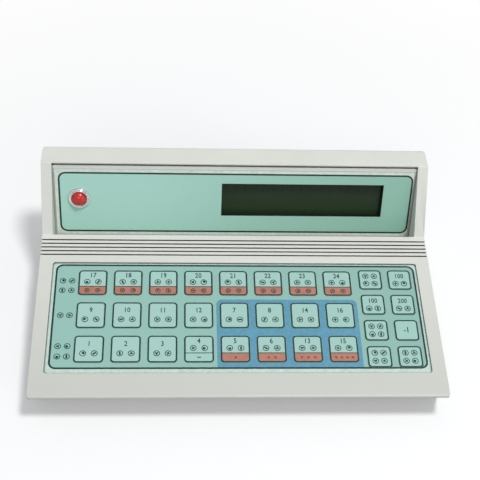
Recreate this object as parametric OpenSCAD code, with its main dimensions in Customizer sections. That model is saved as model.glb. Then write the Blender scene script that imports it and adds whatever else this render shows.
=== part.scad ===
// Desktop counting console: a two-part plastic case with a sloping membrane keypad,
// a recessed display panel and one red push button. X runs left to right,
// Y front to back and Z up from the table. Lengths are millimetres.

/* [Case] */
// Width of the case
case_w = 240; // [232:1:260]
// Length of the sloping deck, from the front edge to the foot of the display cheeks
deck_len = 112.9; // [110:0.1:125]
// Slope of the deck above the horizontal
deck_angle = 8; // [6:0.5:10]
// Height of the deck's front edge above the underside
front_h = 20; // [19:0.5:26]
// Height of the top ledge above the deck's front edge
head_rise = 53; // [50:0.5:60]
// Slope of the display cheeks above the horizontal
cheek_angle = 55.9; // [52:0.1:60]
// Depth of the top ledge, front to back
ledge_d = 16; // [15:0.5:24]
// Wall of both shells
wall = 2.5; // [2:0.1:2.8]
// Height of the top shell's lip below the deck's front edge
lip_h = 4; // [3:0.25:5]
// Lean of both shells' front faces under the deck, measured from the vertical
toe_angle = 38; // [36:1:42]
// Step of the bottom shell inside the top shell's outline
shell_step = 0.4; // [0.2:0.1:0.8]
// Radius of the rear corners in plan
rear_corner_r = 4; // [2:0.5:6]
// Radius of the front corners in plan
front_corner_r = 2; // [1:0.5:3]
// Rounding of the deck's front edge
front_edge_r = 1.2; // [1:0.1:2]
// Rounding of the ledge's rear edge
rear_edge_r = 2.5; // [1:0.1:4]

/* [Waist grooves] */
// Number of grooves across the waist
groove_count = 5; // [3:1:6]
// Spacing of the grooves
groove_pitch = 2.75; // [2.2:0.05:3]
// Width of a groove
groove_w = 0.9; // [0.6:0.1:1.2]
// Depth of a groove
groove_depth = 1.2; // [0.8:0.1:1.6]
// Distance from the last groove to the foot of the cheeks
groove_inset = 3.9; // [3:0.1:5]
// Length of the notch where a groove wraps over the side of the case
notch_drop = 4; // [2:0.5:6]
// Depth of that notch into the side of the case
notch_depth = 1.6; // [0.8:0.1:1.8]

/* [Display recess] */
// Width of the case's sides beside the recess
cheek_w = 6.4; // [6:0.1:8]
// Slope of the display panel above the horizontal
panel_angle = 72.6; // [68:0.1:76]
// Setback of the panel behind the ledge's front edge
panel_back = 1.2; // [0.8:0.1:2]
// Thickness of the display panel
panel_t = 2.5; // [2:0.1:3]
// Height of the shadow gap over the panel
panel_gap = 1.6; // [1:0.1:2]
// Thickness of the ledge's lip over that gap
ledge_lip = 0.9; // [0.7:0.1:1.1]
// Height of the recess floor above the deck's front edge
trough_rise = 1.5; // [0:0.5:3]
// Overlap of the panel behind the cheeks, each side
panel_overlap = 3; // [2:0.25:3.4]

/* [Display] */
// Drop of the window's centre line below the ledge, along the panel
line_drop = 25.4; // [24:0.2:27]
// Width of the display window
window_w = 102.4; // [96:0.2:106]
// Height of the display window
window_h = 22.7; // [20:0.1:25]
// Distance of the window from the right side of the recess
window_side = 20; // [16:0.2:24]
// Depth of the display glass behind the front of the panel
glass_depth = 4.2; // [3.5:0.1:5]
// Border of the glass under its frame
glass_border = 2; // [1:0.25:3]
// Depth of the display frame from front to back
lcd_frame_d = 6; // [5.5:0.1:6.5]
// Border of the display frame round the window
lcd_frame_border = 4.5; // [4:0.25:6]
// Border of the display's circuit board outside its pins
lcd_board_border = 3; // [2:0.25:4]
// Diameter of the posts that carry the display's board
lcd_post_d = 5; // [4:0.25:5.5]
// Height of the display's circuit board
lcd_board_h = 40; // [38:0.5:42]
// Thickness of every circuit board
board_t = 1.6; // [1.2:0.1:2]
// Drop of the top edge of the display overlay below the ledge, along the panel
overlay_top = 5; // [4:0.2:6]
// Height of the display overlay
overlay_h = 45.6; // [42:0.2:46.4]
// Distance of the display overlay's edges from the sides of the recess
overlay_side = 1.2; // [0.4:0.1:3]
// Thickness of the printed overlay films
film_t = 0.3; // [0.2:0.05:0.4]

/* [Push button] */
// Distance of the button's centre from the left side of the recess
button_side = 16; // [15:0.2:18]
// Drop of the button's centre below the ledge, along the panel
button_drop = 24.8; // [24:0.2:27]
// Diameter of the red button
button_d = 9; // [8:0.1:9.4]
// Outside diameter of the bezel ring
bezel_d = 13.4; // [12.8:0.1:15]
// Height of the bezel ring above the panel
bezel_h = 1.6; // [1.4:0.1:2]
// Diameter of the bezel's threaded bush
bush_d = 11.4; // [11.2:0.1:12]
// Height of the bush's collar above the panel
collar_h = 2.2; // [2.1:0.1:3]
// Height of the button's top above the collar
button_proud = 3; // [2.8:0.1:4]
// Travel of the push button
button_travel = 2; // [1.5:0.1:2.4]
// Running clearance round the push button
button_clear = 0.3; // [0.25:0.05:0.4]
// Width across the switch body behind the panel
switch_body_w = 12; // [11:0.5:13]
// Length of the switch body behind the bush
switch_body_l = 9; // [8:0.5:9.5]

/* [Keypad] */
// Distance of the keypad pocket from the sides of the case
pocket_side = 8.2; // [7:0.1:9]
// Distance of the keypad pocket from the front edge, along the deck
pocket_start = 16.3; // [14:0.1:18]
// Length of the keypad pocket along the deck
pocket_len = 76.1; // [74:0.1:77]
// Depth of the pocket below the deck
pocket_depth = 2.7; // [2.6:0.05:3]
// Floor under the keypad pocket
pocket_floor = 2.3; // [2:0.1:2.6]
// Corner radius of the pocket
pocket_r = 1.5; // [1:0.1:3]
// Thickness of the circuit sheet under the domes
circuit_t = 0.4; // [0.3:0.05:0.5]
// Height of an embossed key above the film round it
key_proud = 0.3; // [0.2:0.05:0.4]
// Travel of a key
key_travel = 0.4; // [0.3:0.05:0.4]
// Clearance round a key in the film
key_clear = 0.15; // [0.1:0.05:0.2]
// Corner radius of a key
key_r = 2.2; // [1.5:0.1:3]
// Width of a counting key
count_key_w = 17; // [15:0.1:18]
// Length of a counting key along the deck
count_key_l = 17.6; // [15:0.1:18]
// Distance of the first column's centre from the left edge of the pocket
count_side = 24.7; // [24:0.1:26]
// Distance of the front row's centre behind the front edge of the pocket
count_front = 16.1; // [15:0.1:17]
// Distance of the rear row's centre ahead of the rear edge of the pocket
count_rear = 14.4; // [13:0.1:15]
// Step from the counting keys to the function keys, in columns of counting keys
column_gap = 0.9764; // [0.95:0.0001:1]
// Step between the function keys' columns, in columns of counting keys
function_step = 0.8585; // [0.84:0.0001:0.88]
// Width of a function key
function_key_w = 14.1; // [12:0.1:15]
// Length of a function key along the deck
function_key_l = 14; // [12:0.1:15]
// Distance of the last column's centre from the right edge of the pocket
function_side = 11.6; // [11:0.1:12.5]
// Distance of the front function row's centre behind the front edge of the pocket
function_front = 10.9; // [10:0.05:11.5]
// Distance of the rear function row's centre ahead of the rear edge of the pocket
function_rear = 11.65; // [10.5:0.05:12]
// Diameter of a snap dome
dome_d = 9; // [6:0.5:10]
// Height of a snap dome
dome_h = 0.35; // [0.25:0.05:0.4]
// Width of the keypad's flat tail
tail_w = 24; // [16:1:30]

/* [Feet and screws] */
// Diameter of a rubber foot
foot_d = 12; // [10:0.5:16]
// Height of a foot below the case
foot_h = 3; // [2:0.25:5]
// Depth of the recess that holds a foot
foot_seat = 0.8; // [0.6:0.1:1.2]
// Distance of the feet from the sides of the case
foot_side = 20; // [18:1:30]
// Distance of the front feet behind the front edge
foot_front = 30; // [28:1:40]
// Distance of the rear feet ahead of the rear face
foot_rear = 16; // [14:1:24]
// Diameter of the screws
screw_d = 3; // [2.6:0.1:3.2]
// Length of the screws under the head
screw_l = 10; // [9:0.5:10]
// Diameter of a screw head
screw_head_d = 5.6; // [5:0.1:6]
// Height of a screw head
screw_head_h = 2; // [1.6:0.1:2.4]
// Diameter of the screw bosses
boss_d = 8.4; // [8:0.2:9]
// Depth that a case screw bites into the top shell
screw_bite = 5; // [4:0.5:5.5]
// Distance of the case screws from the sides of the case
boss_side = 7.4; // [6.8:0.2:8.5]
// Distance of the front case screws behind the front edge
boss_front = 46; // [44:1:55]
// Distance of the rear case screws ahead of the rear face
boss_rear = 9; // [8:0.5:10]

/* [Circuit board] */
// Distance of the main board from the right side of the case
board_right = 76; // [72:1:80]
// Length of the main board, front to back
board_l = 74; // [70:1:76]
// Distance of the main board from the left side of the case
board_left = 14; // [13:0.5:18]
// Distance of the main board behind the front edge
board_front = 16; // [15:0.5:18]
// Height of the main board above the underside
board_rise = 11; // [10.6:0.2:11.6]
// Distance of the board screws from the board's edges
board_inset = 6; // [5:0.5:8]
// Number of chips along the board
chip_count = 4; // [2:1:5]
// Room left beside the row of chips, at each end
chip_margin = 15; // [12:1:18]
// Length of a chip
chip_l = 20; // [14:1:24]
// Width of a chip
chip_w = 8; // [6:0.5:10]
// Height of a chip
chip_h = 3.5; // [3:0.1:3.8]
// Diameter of the sounder
sounder_d = 12; // [9:0.5:14]
// Height of the sounder
sounder_h = 7; // [5:0.5:7.5]
// Distance of the sounder's centre from the right edge of the main board
sounder_side = 20; // [18:1:24]
// Distance of the sounder's centre ahead of the rear edge of the main board
sounder_rear = 14; // [12:1:18]
// Width of the display ribbon
ribbon_w = 20; // [12:1:24]
// Thickness of the display ribbon
ribbon_t = 1; // [0.8:0.1:1.2]
// Distance of the ribbon to the left of the window's centre
ribbon_left = 30; // [26:1:34]

/* [Transformer] */
// Width of the transformer core
core_w = 34; // [28:1:38]
// Length of the transformer core, front to back
core_l = 28; // [24:1:29]
// Height of the core's stack of plates
core_h = 12; // [10:0.5:13]
// Width of the core's middle leg
core_leg = 10; // [8:0.5:12]
// Width of a window in the core
core_window = 6.5; // [5:0.5:7]
// Height of the winding, over and under the core
winding_h = 19; // [16:0.5:20]
// Distance of the transformer's centre from the right side of the case
core_side = 42; // [38:1:46]
// Distance of the transformer's centre behind the front edge
core_back = 88; // [84:1:90]

/* [Rear panel] */
// Width of the opening in the rear wall
rear_open_w = 192; // [180:1:200]
// Height of that opening above the bottom shell
rear_open_h = 42; // [38:1:44]
// Thickness of the rear panel
rear_panel_t = 2; // [1.5:0.1:2]
// Overlap of the rear panel behind the opening
rear_overlap = 4; // [3:0.5:5]
// Distance of the fuse holder to the left of the middle
fuse_left = 87; // [86:0.5:88]
// Diameter of the fuse holder's flange
fuse_flange_d = 14; // [13:0.5:15]
// Diameter of the fuse holder's body
fuse_body_d = 11; // [10:0.5:11.5]
// Length of the fuse holder's body inside the case
fuse_body_l = 18; // [15:0.5:19]
// Length of the fuse cap outside the panel
fuse_cap_l = 7; // [5:0.5:9]
// Height of the fuse holder's centre above the bottom shell
fuse_rise = 13; // [12:0.5:14]
// Distance of the mains inlet to the left of the middle
inlet_left = 62; // [60:0.5:63]
// Width of the mains inlet's flange
inlet_flange_w = 31; // [30:0.5:32]
// Height of the mains inlet's flange
inlet_flange_h = 24; // [23:0.5:25]
// Width of the mains inlet's socket
inlet_socket_w = 24.4; // [24:0.1:25]
// Height of the mains inlet's socket
inlet_socket_h = 16.7; // [16.2:0.1:17.2]
// Depth of the mains inlet's socket
inlet_socket_d = 15; // [14:0.5:16]
// Wall round the mains inlet's socket
inlet_wall = 1.6; // [1.2:0.1:1.8]
// Height of the inlet's and the switch's common centre line above the bottom shell
outlet_rise = 19; // [17:0.5:20]
// Distance of the power switch to the left of the middle
switch_left = 34; // [32:0.5:35]
// Width of the power switch's flange
switch_flange_w = 15; // [14:0.5:16]
// Height of the power switch's flange
switch_flange_h = 21; // [20:0.5:22]
// Thickness of the flanges on the rear panel
flange_t = 2; // [1.5:0.1:2.4]
// Width of the rocker
rocker_w = 9.6; // [8.6:0.1:10]
// Swing radius of the rocker's ends
rocker_r = 7.6; // [7:0.1:8]
// Height of the rocker's face above its pivot, in the middle
rocker_face = 1.4; // [1.2:0.1:2]
// Diameter of the rocker's pivot
pivot_d = 2; // [1.6:0.1:2.2]
// Angle between the rocker's two positions
rocker_swing = 20; // [14:1:22]
// Running clearance round the rocker
rocker_clear = 0.35; // [0.3:0.05:0.4]

/* [Hidden] */
$fn = 48;
EPS = 0.01;
FAR = 60;                       // reach of a cutting shape past the part that it cuts
SEAT = 0.2;                     // clearance of a piece in its slot or pocket
COUNT_COLS = 8;
COUNT_ROWS = 3;
FUNCTION_COLS = 2;
FUNCTION_ROWS = 4;
COUNT_KEYS = COUNT_COLS * COUNT_ROWS;
FUNCTION_KEYS = FUNCTION_COLS * FUNCTION_ROWS;
PIN_PITCH = 7;                  // side pins of the mains inlet from its middle
PIN_OFFSET = 2;                 // pins above and below the inlet's middle
PIN_SIZE = [2, 4];
PIN_TAIL = 3;                   // pins behind the inlet's body
GUIDE_W = 3;                    // rear panel's guides, half across
GUIDE_H = 18;
GUIDE_LIP = 2;
WEB = 2;                        // webs and small ribs
BUSH_FLOOR = 0.8;
STEM_CLEAR = 0.7;               // room under the button's stem at the end of its travel
STEM_STEP = 1.5;                // stem inside the cap's edge
RIM_H = 0.6;                    // straight rim of the cap above the collar
NUT_H = 2.5;
NUT_OVER = 4.6;                 // nut across its corners, over the bush
POST_PIN_D = 2.4;               // pins that the display's board sits on
PIN_BACK = 4;                   // those pins from the board's edges
TAIL_T = 0.4;
SOCKET_H = 4;                   // keypad tail's socket on the main board
SOCKET_D = 5;
CORE_YOKE = 5;                  // core beyond its windows, front and back
WINDING_CLEAR = 1.2;            // room under the winding
SLOT_W = 1.4;                   // slot in the fuse cap

part_z = front_h - lip_h;       // parting plane of the two shells
head_z = front_h + head_rise;
cheek_y = deck_len * cos(deck_angle);
cheek_z = front_h + deck_len * sin(deck_angle);
ledge_y = cheek_y + (head_z - cheek_z) / tan(cheek_angle);
case_d = ledge_y + ledge_d;
panel_y = ledge_y + panel_back; // panel's front plane at the height of the ledge
trough_z = front_h + trough_rise;
inner_half = case_w / 2 - wall;
recess_w = case_w - 2 * cheek_w;
recess_half = recess_w / 2;
rear_out = fuse_cap_l - wall;   // how far the fuse cap stands behind the case
front_half = (90 - toe_angle + deck_angle) / 2;     // half the angle of the front edge
front_mid = (90 - toe_angle - deck_angle) / 2;      // middle of that angle, below level
nose_y = front_edge_r * (cos(front_mid) / sin(front_half) - 1);     // rounded edge's foremost line
total_d = case_d + rear_out - nose_y;
rear_plate_y = case_d - wall;   // rear panel's outer face
panel_slant = sin(panel_angle); // length up the panel to height

pocket_w = case_w - 2 * pocket_side;
pocket_half = pocket_w / 2;
count_pitch_x = (pocket_w - count_side - function_side)
    / (COUNT_COLS - 1 + column_gap + (FUNCTION_COLS - 1) * function_step);
count_pitch_y = (pocket_len - count_front - count_rear) / (COUNT_ROWS - 1);
function_pitch_x = function_step * count_pitch_x;
function_pitch_y = (pocket_len - function_front - function_rear) / (FUNCTION_ROWS - 1);
count_left = count_side - pocket_half;      // first column of each group of keys
function_left = pocket_half - function_side - (FUNCTION_COLS - 1) * function_pitch_x;
circuit_z = circuit_t - pocket_depth;
spacer_z = circuit_z + dome_h + key_travel + key_clear;
film_z = spacer_z + film_t;     // keypad film's top, below the deck
key_t = film_t + key_proud;
tub_z = -(pocket_depth + pocket_floor);

button_x = recess_half - button_side;
window_x = recess_half - window_side - window_w / 2;
panel_top = (ledge_lip + panel_gap) / panel_slant;
panel_bottom = (head_z - trough_z + wall) / panel_slant;
lcd_board_z = -(panel_t + lcd_frame_d);
lcd_post_x = window_w / 2 + lcd_frame_border + SEAT + lcd_post_d / 2;
lcd_board_w = 2 * (lcd_post_x + lcd_board_border);
header_h = 3;                   // ribbon header on the display's board
header_d = 2;
ribbon_x = window_x - ribbon_left;
tail_x = -50;                   // keypad tail, clear of the ribbon
bush_l = panel_t + button_travel + STEM_CLEAR + BUSH_FLOOR;

boss_seat = part_z + screw_bite - screw_l;
board_top = board_rise + board_t;
board_w = case_w - board_left - board_right;
core_right = case_w / 2 - core_side;
core_z = wall + (winding_h - core_h) / 2 + WINDING_CLEAR;

CASE = [0.86, 0.86, 0.83];
BASE = [0.80, 0.80, 0.77];
MINT = [0.62, 0.81, 0.77];
DARK = [0.10, 0.12, 0.11];
BOARD = [0.10, 0.38, 0.22];
METAL = [0.75, 0.76, 0.78];

function two_digits(n) = str(n < 10 ? "0" : "", n);
function count_name(i) = str("count_key_", two_digits(i + 1));
function function_name(i) = str("function_key_", i + 1);

// Profile helpers: points are [y, z] pairs in the side view.
function panel_at(z) = panel_y - (head_z - z) / tan(panel_angle);
function face_at(z, t = 0) = (front_h - z) * tan(toe_angle) + t / cos(toe_angle);
function toe_at(z) = shell_step + face_at(z);
function deck_point(s, h = 0) =
    [s * cos(deck_angle) - h * sin(deck_angle),
     front_h + s * sin(deck_angle) + h * cos(deck_angle)];

// Arc of radius r that replaces the corner b between a and c.
function corner(a, b, c, r, steps = 5) =
    let (u = (a - b) / norm(a - b),
         v = (c - b) / norm(c - b),
         half = acos(u * v) / 2,
         turn = u[0] * v[1] - u[1] * v[0] > 0 ? -1 : 1,
         centre = b + (u + v) / norm(u + v) * r / sin(half),
         start = b + u * r / tan(half) - centre)
    [for (k = [0 : steps])
        let (angle = turn * k * (180 - 2 * half) / steps)
        centre + [start[0] * cos(angle) - start[1] * sin(angle),
                  start[0] * sin(angle) + start[1] * cos(angle)]];

// Everything is modelled in the case's own frame, then set down here.
module place() {
    translate([0, -nose_y - total_d / 2, foot_h]) children();
}

// Deck frame: x across, y up the slope from the front edge, z out of the deck.
module on_deck() {
    translate([0, 0, front_h]) rotate([deck_angle, 0, 0]) children();
}

// Panel frame: x across, y up the panel from the ledge's level, z out of the panel.
module on_panel() {
    translate([0, panel_y, head_z]) rotate([panel_angle, 0, 0]) children();
}

// Rear frame: x to the left seen from the front, y up from the bottom shell's rim,
// z out of the rear panel.
module on_rear(left, rise) {
    translate([-left, rear_plate_y, part_z + rise]) rotate([-90, 0, 0]) rotate([0, 0, 180]) children();
}

// Side-view outline pushed out across the case, w wide.
module across(points, w) {
    rotate([90, 0, 90]) linear_extrude(height = w, center = true) polygon(points);
}

module rounded(w, h, r) {
    square([w - 2 * r, h], center = true);
    square([w, h - 2 * r], center = true);
    for (x = [-1, 1], y = [-1, 1])
        translate([x * (w / 2 - r), y * (h / 2 - r)]) circle(r);
}

// Rounded plate from z = low to z = high, centred on x and y.
module slab(w, h, r, low, high) {
    translate([0, 0, low]) linear_extrude(height = high - low) rounded(w, h, r);
}

module brick(x0, x1, y0, y1, z0, z1) {
    translate([x0, y0, z0]) cube([x1 - x0, y1 - y0, z1 - z0]);
}

// Plan of the case with its four rounded corners, drawn in by step.
module plan_block(step, z0, z1) {
    half = case_w / 2 - step;
    front = nose_y + step;
    back = case_d - step;
    rear_r = rear_corner_r - step;
    front_r = front_corner_r - step;
    translate([0, 0, z0]) linear_extrude(height = z1 - z0) {
        translate([-half + front_r, front]) square([2 * (half - front_r), case_d / 2]);
        translate([-half, front + front_r]) square([2 * half, back - rear_r - front_r - front]);
        translate([-half + rear_r, case_d / 2]) square([2 * (half - rear_r), back - case_d / 2]);
        for (x = [-1, 1]) {
            translate([x * (half - front_r), front + front_r]) circle(front_r);
            translate([x * (half - rear_r), back - rear_r]) circle(rear_r);
        }
    }
}

function key_count_x(i) = count_left + (i % COUNT_COLS) * count_pitch_x;
function key_count_y(i) = pocket_start + count_front + floor(i / COUNT_COLS) * count_pitch_y;
function key_function_x(i) = function_left + (i % FUNCTION_COLS) * function_pitch_x;
function key_function_y(i) =
    pocket_start + function_front + floor(i / FUNCTION_COLS) * function_pitch_y;

// Children drawn once at every key, with grow added round the key's outline.
module all_keys(grow, low, high) {
    for (i = [0 : COUNT_KEYS - 1])
        translate([key_count_x(i), key_count_y(i), 0])
            slab(count_key_w + 2 * grow, count_key_l + 2 * grow, key_r, low, high);
    for (i = [0 : FUNCTION_KEYS - 1])
        translate([key_function_x(i), key_function_y(i), 0])
            slab(function_key_w + 2 * grow, function_key_l + 2 * grow, key_r, low, high);
}

// The four case screws stand at these places.
module at_bosses() {
    for (x = [-1, 1], y = [boss_front, case_d - boss_rear])
        translate([x * (case_w / 2 - boss_side), y, 0]) children();
}

// The four board screws stand at these places.
module at_board_posts() {
    left = -case_w / 2 + board_left;
    for (x = [left + board_inset, left + board_w - board_inset],
         y = [board_front + board_inset, board_front + board_l - board_inset])
        translate([x, y, 0]) children();
}

module at_feet() {
    for (x = [-1, 1], y = [foot_front, case_d - foot_rear])
        translate([x * (case_w / 2 - foot_side), y, 0]) children();
}

module at_core() {
    translate([core_right, core_back, core_z + core_h / 2]) children();
}

// Outer form of the top shell.
module top_outer() {
    front_low = [face_at(part_z), part_z];
    front_top = [0, front_h];
    cheek = [cheek_y, cheek_z];
    ledge = [ledge_y, head_z];
    rear_top = [case_d, head_z];
    rear_low = [case_d, part_z];
    profile = concat(
        [front_low],
        corner(front_low, front_top, cheek, front_edge_r),
        [cheek],
        corner(cheek, ledge, rear_top, 0.8),
        corner(ledge, rear_top, rear_low, rear_edge_r),
        [rear_low]);
    intersection() {
        across(profile, case_w);
        plan_block(0, part_z, head_z + FAR);
    }
}

// Hollow of the top shell, under the deck and behind the display panel.
module top_hollow() {
    waist_y = cheek_y - wall;
    trough_under = trough_z - wall;
    front_in = wall / sin(front_half);
    under_deck = [
        [face_at(part_z - 1, wall), part_z - 1],
        [front_in * cos(front_mid), front_h - front_in * sin(front_mid)],
        deck_point(waist_y / cos(deck_angle), -wall), [waist_y, part_z - 1]];
    behind_panel = [
        [waist_y - 1, part_z - 1], [waist_y - 1, trough_under],
        [panel_at(trough_under), trough_under],
        [panel_at(head_z - wall), head_z - wall],
        [case_d - wall, head_z - wall], [case_d - wall, part_z - 1]];
    gap_low = head_z - wall - 0.5;
    gap_high = head_z - ledge_lip;
    gap_d = panel_t / panel_slant + SEAT;
    shadow_gap = [
        [panel_at(gap_low) - SEAT, gap_low], [panel_at(gap_high) - SEAT, gap_high],
        [panel_at(gap_high) + gap_d, gap_high], [panel_at(gap_low) + gap_d, gap_low]];
    across(under_deck, 2 * inner_half);
    across(behind_panel, 2 * inner_half);
    across(shadow_gap, recess_w);
}

// Open recess in front of the display panel.
module display_recess() {
    across([
        [cheek_y, trough_z], [panel_at(trough_z), trough_z],
        [panel_at(head_z - ledge_lip), head_z - ledge_lip],
        [ledge_y, head_z - ledge_lip], [ledge_y, head_z + 1],
        [cheek_y, head_z + 1]], recess_w);
}

module groove_cuts() {
    for (i = [0 : groove_count - 1])
        on_deck() {
            y = deck_len - groove_inset - i * groove_pitch;
            brick(-case_w / 2 - 1, case_w / 2 + 1, y - groove_w / 2, y + groove_w / 2,
                -groove_depth, 1);
            for (x = [-1, 1])
                translate([x * case_w / 2, y, -notch_drop / 2])
                    cube([2 * notch_depth, groove_w, notch_drop], center = true);
        }
}

module pocket_middle() {
    on_deck() translate([0, pocket_start + pocket_len / 2, 0]) children();
}

// Channels that hold the ends of the rear panel.
module rear_guides() {
    half = rear_open_w / 2 + rear_overlap;
    front = rear_plate_y - rear_panel_t - SEAT;
    for (x = [-1, 1])
        difference() {
            translate([x * half, 0, 0]) brick(-GUIDE_W, GUIDE_W,
                front - GUIDE_LIP, rear_plate_y + 1, part_z, part_z + GUIDE_H);
            translate([x * (half - GUIDE_W), 0, 0])
                brick(-GUIDE_W - SEAT, GUIDE_W + SEAT, front, rear_plate_y, part_z - 1, head_z);
            translate([x * (half - GUIDE_W - GUIDE_LIP), 0, 0])
                brick(-GUIDE_W, GUIDE_W, front - GUIDE_LIP - 1, front + 1, part_z - 1, head_z);
        }
}

// Webs that tie the screw bosses to the side walls.
module boss_webs() {
    for (x = [-1, 1], y = [boss_front, case_d - boss_rear])
        translate([x * (case_w - boss_side) / 2, y, 0])
            brick(-boss_side / 2, boss_side / 2, -WEB / 2, WEB / 2,
                part_z, part_z + screw_bite + wall);
}

module top_shell() color(CASE) difference() {
    union() {
        difference() {
            top_outer();
            top_hollow();
        }
        intersection() {
            top_outer();
            union() {
                pocket_middle()
                    slab(pocket_w + 2 * wall, pocket_len + 2 * wall, pocket_r + wall, tub_z, -wall / 2);
                at_bosses() translate([0, 0, part_z]) cylinder(d = boss_d, h = screw_bite + wall);
                boss_webs();
                rear_guides();
            }
        }
    }
    display_recess();
    groove_cuts();
    pocket_middle() {
        slab(pocket_w, pocket_len, pocket_r, -pocket_depth, 1);
        translate([tail_x, pocket_len / 2 - 4, 0]) slab(tail_w + 4, 3, 1.4, tub_z - 1, 0);
    }
    brick(-rear_open_w / 2, rear_open_w / 2, case_d - wall - EPS, case_d + 1,
        part_z - 1, part_z + rear_open_h);
    at_bosses() translate([0, 0, part_z - 1]) cylinder(d = screw_d, h = screw_bite + 1.5);
}

// Outline of the bottom shell, drawn in by t from its outer form.
function base_profile(t, top) = [
    [toe_at(top) + t / cos(toe_angle), top], [toe_at(t) + t / cos(toe_angle), t],
    [case_d - shell_step - t, t], [case_d - shell_step - t, top]];

module bottom_shell() color(BASE) difference() {
    union() {
        difference() {
            intersection() {
                across(base_profile(0, part_z), case_w);
                plan_block(shell_step, -1, part_z);
            }
            across(base_profile(wall, part_z + 5), 2 * (inner_half - shell_step));
        }
        intersection() {
            plan_block(shell_step, 0, part_z);
            union() {
                at_bosses() cylinder(d = boss_d, h = part_z);
                brick(-rear_open_w / 2, rear_open_w / 2, rear_plate_y - rear_panel_t - 1.5,
                    case_d - wall, wall - EPS, part_z);
            }
        }
        at_board_posts() cylinder(d = boss_d - 1.4, h = board_rise);
        at_core() for (y = [-1, 1])
            translate([0, y * (core_l / 2 - WEB), 0])
                brick(-core_w / 2, core_w / 2, -WEB / 2, WEB / 2,
                    wall - core_z - core_h / 2 - EPS, -core_h / 2);
    }
    at_bosses() {
        translate([0, 0, -1]) cylinder(d = screw_head_d + 0.8, h = boss_seat + 1);
        cylinder(d = screw_d + 0.6, h = part_z + 1);
    }
    at_board_posts() translate([0, 0, board_top - screw_l - SEAT])
        cylinder(d = screw_d, h = screw_l);
    at_feet() translate([0, 0, -1]) cylinder(d = foot_d + 2 * SEAT, h = foot_seat + 1);
}

module rear_panel() color(CASE) {
    half = rear_open_w / 2 + rear_overlap;
    difference() {
        brick(-half, half, rear_plate_y - rear_panel_t, rear_plate_y,
            part_z, part_z + rear_open_h + rear_overlap);
        on_rear(fuse_left, fuse_rise)
            cylinder(d = fuse_body_d + 2 * SEAT, h = FAR, center = true);
        on_rear(inlet_left, outlet_rise) slab(inlet_socket_w + 2 * (inlet_wall + SEAT),
            inlet_socket_h + 2 * (inlet_wall + SEAT), 2, -FAR, FAR);
        on_rear(switch_left, outlet_rise) slab(switch_flange_w - 2 + 2 * SEAT,
            switch_flange_h - 2 + 2 * SEAT, 0.5, -FAR, FAR);
    }
}

module display_panel() color(CASE) {
    plate_w = recess_w + 2 * panel_overlap;
    on_panel() difference() {
        union() {
            brick(-plate_w / 2, plate_w / 2, -panel_bottom, -panel_top, -panel_t, 0);
            at_lcd_pins() translate([0, 0, lcd_board_z])
                cylinder(d = lcd_post_d, h = lcd_frame_d + EPS);
            at_lcd_pins() translate([0, 0, lcd_board_z - board_t - 1])
                cylinder(d = POST_PIN_D, h = board_t + 2);
        }
        translate([window_x, -line_drop, 0]) cube([window_w, window_h, FAR], center = true);
        translate([-button_x, -button_drop, -FAR / 2]) cylinder(d = bush_d + 2 * SEAT, h = FAR);
    }
}

// Pins that hold the display's board, just outside its frame.
module at_lcd_pins() {
    for (x = [-1, 1], y = [-1, 1])
        translate([window_x + x * lcd_post_x, -line_drop + y * (lcd_board_h / 2 - PIN_BACK), 0])
            children();
}

module display_overlay() color(MINT) {
    w = recess_w - 2 * overlay_side;
    on_panel() difference() {
        translate([0, -overlay_top - overlay_h / 2, 0]) slab(w, overlay_h, 2, 0, film_t);
        translate([window_x, -line_drop, 0]) cube([window_w, window_h, FAR], center = true);
        translate([-button_x, -button_drop, -1]) cylinder(d = bush_d + 2 * SEAT, h = 2);
    }
}

module lcd_frame() color(DARK) on_panel() translate([window_x, -line_drop, 0]) difference() {
    slab(window_w + 2 * lcd_frame_border, window_h + 2 * lcd_frame_border, 1,
        lcd_board_z, -panel_t);
    cube([window_w + 0.6, window_h + 0.6, FAR], center = true);
    glass_w = window_w + 2 * (glass_border + SEAT);
    glass_h = window_h + 2 * (glass_border + SEAT);
    brick(-glass_w / 2, glass_w / 2, -glass_h / 2, glass_h / 2, lcd_board_z - 1, -glass_depth);
}

// Glass cell with its backlight block behind it.
module lcd_glass() color([0.15, 0.22, 0.14]) on_panel()
    translate([window_x, -line_drop, 0]) {
        w = window_w + 2 * glass_border;
        h = window_h + 2 * glass_border;
        brick(-w / 2, w / 2, -h / 2, h / 2, lcd_board_z, -glass_depth);
    }

module lcd_board() color(BOARD) on_panel() difference() {
    union() {
        translate([window_x, -line_drop, 0])
            slab(lcd_board_w, lcd_board_h, 1, lcd_board_z - board_t, lcd_board_z);
        translate([ribbon_x, -line_drop - lcd_board_h / 2 + 1, lcd_board_z - board_t])
            brick(-ribbon_w / 2 - 1, ribbon_w / 2 + 1, 0, header_h, -header_d, 0);
    }
    at_lcd_pins() translate([0, 0, lcd_board_z - board_t - 1])
        cylinder(d = POST_PIN_D + SEAT, h = board_t + 2);
}

module at_button() {
    on_panel() translate([-button_x, -button_drop, 0]) children();
}

// Domed red cap on its stem; it slides into the panel.
module reset_button() color([0.75, 0.12, 0.10]) at_button() {
    top = collar_h + button_proud;
    cap_rim = collar_h + RIM_H;
    dome_rise = top - cap_rim;
    dome_r = (pow(button_d / 2, 2) + pow(dome_rise, 2)) / (2 * dome_rise);
    intersection() {
        translate([0, 0, cap_rim - EPS]) cylinder(d = button_d, h = dome_rise + EPS);
        translate([0, 0, top - dome_r]) sphere(dome_r);
    }
    cylinder(d = button_d, h = cap_rim);
    translate([0, 0, -panel_t]) cylinder(d = button_d - 2 * STEM_STEP, h = panel_t + EPS);
}

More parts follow.
